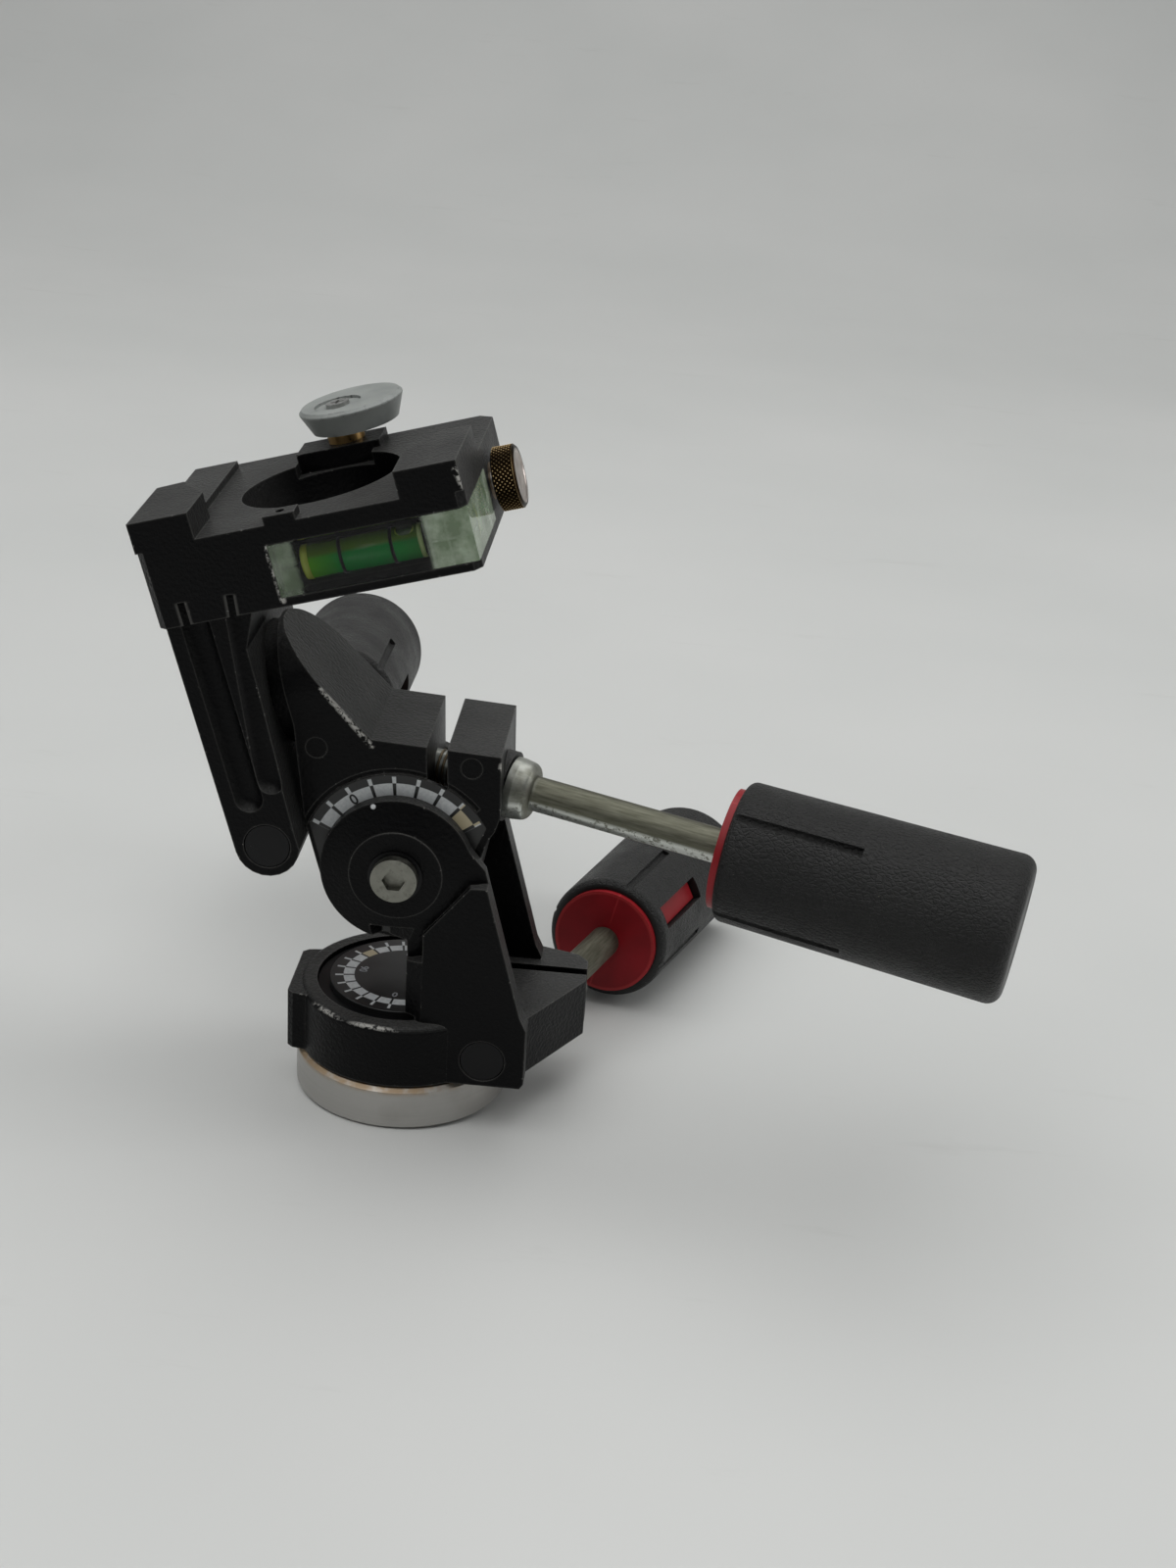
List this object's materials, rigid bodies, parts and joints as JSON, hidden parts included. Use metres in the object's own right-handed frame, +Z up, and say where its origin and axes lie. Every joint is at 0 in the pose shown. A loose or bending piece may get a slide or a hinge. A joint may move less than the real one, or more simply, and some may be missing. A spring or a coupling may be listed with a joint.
{
  "type": "three way pan tilt head",
  "caption": "Pan, front tilt and side tilt camera head with split clamps, three twist handles, hexagonal quick release receiver and spirit level",
  "frame": {"origin": "centre of the tripod thread on the underside of the base disc", "axes": "+Z up, +X toward the operator side where the tilt handle points, Y along the front tilt axis"},
  "size_m": [0.2344, 0.2219, 0.2043],
  "materials": {
    "black_cast": "worn satin black paint",
    "cam_grey": "grey with a chipped dark edge",
    "base_metal": "turned, worn",
    "steel": "bright, a little dull",
    "turned_metal": "turned",
    "dial_black": "black with white graduations",
    "white_plastic": "slippery bearing plastic",
    "black_plastic": "plain",
    "clear": "clear plastic",
    "vial_green": "green liquid in clear tube",
    "brass": "turned and knurled",
    "rod_zinc": "worn plating",
    "red_plastic": "red",
    "grip_rubber": "grained black rubber"
  },
  "bodies": {
    "base": {"base_plate": "base_metal", "tripod_insert": "steel", "pan_spindle": "turned_metal", "spindle_screws": "steel", "pan_retainer": "dial_black", "pan_dial": "dial_black"},
    "yoke": {"pan_yoke": "black_cast", "pan_sleeve": "white_plastic", "pan_plug": "black_plastic", "tilt_drum": "turned_metal", "tilt_bolt": "steel", "tilt_washers": "dial_black", "tilt_nut": "steel"},
    "tilt_head": {"tilt_block": "black_cast", "tilt_sleeve": "white_plastic", "tilt_scale": "dial_black", "side_stem": "turned_metal", "side_retainer": "brass", "side_bolt": "steel"},
    "bracket": {"camera_bracket": "black_cast", "side_sleeve": "white_plastic", "side_plug": "black_plastic", "side_cap": "black_plastic", "level_body": "clear", "long_vial": "vial_green", "short_vial": "vial_green", "cam_bush": "brass", "catch_bush": "brass"},
    "lock": {"cam_shaft": "steel", "lock_cam": "cam_grey", "cam_screw": "steel", "lock_lever": "black_cast"},
    "catch": {"catch_knob": "brass", "catch_pin": "steel", "catch_spring": "steel"},
    "pan_handle": {"pan_rod": "rod_zinc", "pan_core": "red_plastic", "pan_grip": "grip_rubber"},
    "tilt_handle": {"tilt_rod": "rod_zinc", "tilt_core": "red_plastic", "tilt_grip": "grip_rubber"},
    "side_handle": {"side_rod": "rod_zinc", "side_core": "red_plastic", "side_grip": "grip_rubber"}
  },
  "joints": [
    {"name": "pan", "type": "hinge", "parent": "base", "child": "yoke", "pos_m": [0, 0, 0.02], "axis": [0, 0, 1], "continuous": true},
    {"name": "front_tilt", "type": "hinge", "parent": "yoke", "child": "tilt_head", "pos_m": [0, 0, 0.0753], "axis": [0, -1, 0], "range_deg": [-46, 74]},
    {"name": "side_tilt", "type": "hinge", "parent": "tilt_head", "child": "bracket", "pos_m": [-0.04001, 0, 0.11688], "axis": [0.9613, 0, 0.2756], "range_deg": [-30, 90]},
    {"name": "pan_clamp", "type": "hinge", "parent": "yoke", "child": "pan_handle", "pos_m": [0.0411, 0.024, 0.0184], "axis": [0.2913, 0.9528, -0.0854], "range_deg": [0, 120]},
    {"name": "tilt_clamp", "type": "hinge", "parent": "tilt_head", "child": "tilt_handle", "pos_m": [0.02769, -0.0036, 0.09447], "axis": [0.9676, -0.2317, -0.1004], "range_deg": [0, 120]},
    {"name": "side_clamp", "type": "hinge", "parent": "bracket", "child": "side_handle", "pos_m": [-0.03363, 0.027, 0.0823], "axis": [-0.0459, 0.9906, -0.1291], "range_deg": [0, 120]},
    {"name": "plate_lock", "type": "hinge", "parent": "bracket", "child": "lock", "pos_m": [-0.02017, 0.0294, 0.1645], "axis": [-0.2756, 0, 0.9613], "range_deg": [-90, 0]},
    {"name": "catch_pull", "type": "slide", "parent": "bracket", "child": "catch", "axis": [0.9613, 0, 0.2756], "range_m": [0, 0.004], "stiffness_N_per_m": 250, "springref_m": -0.003, "deforming": ["catch_spring"]}
  ]
}
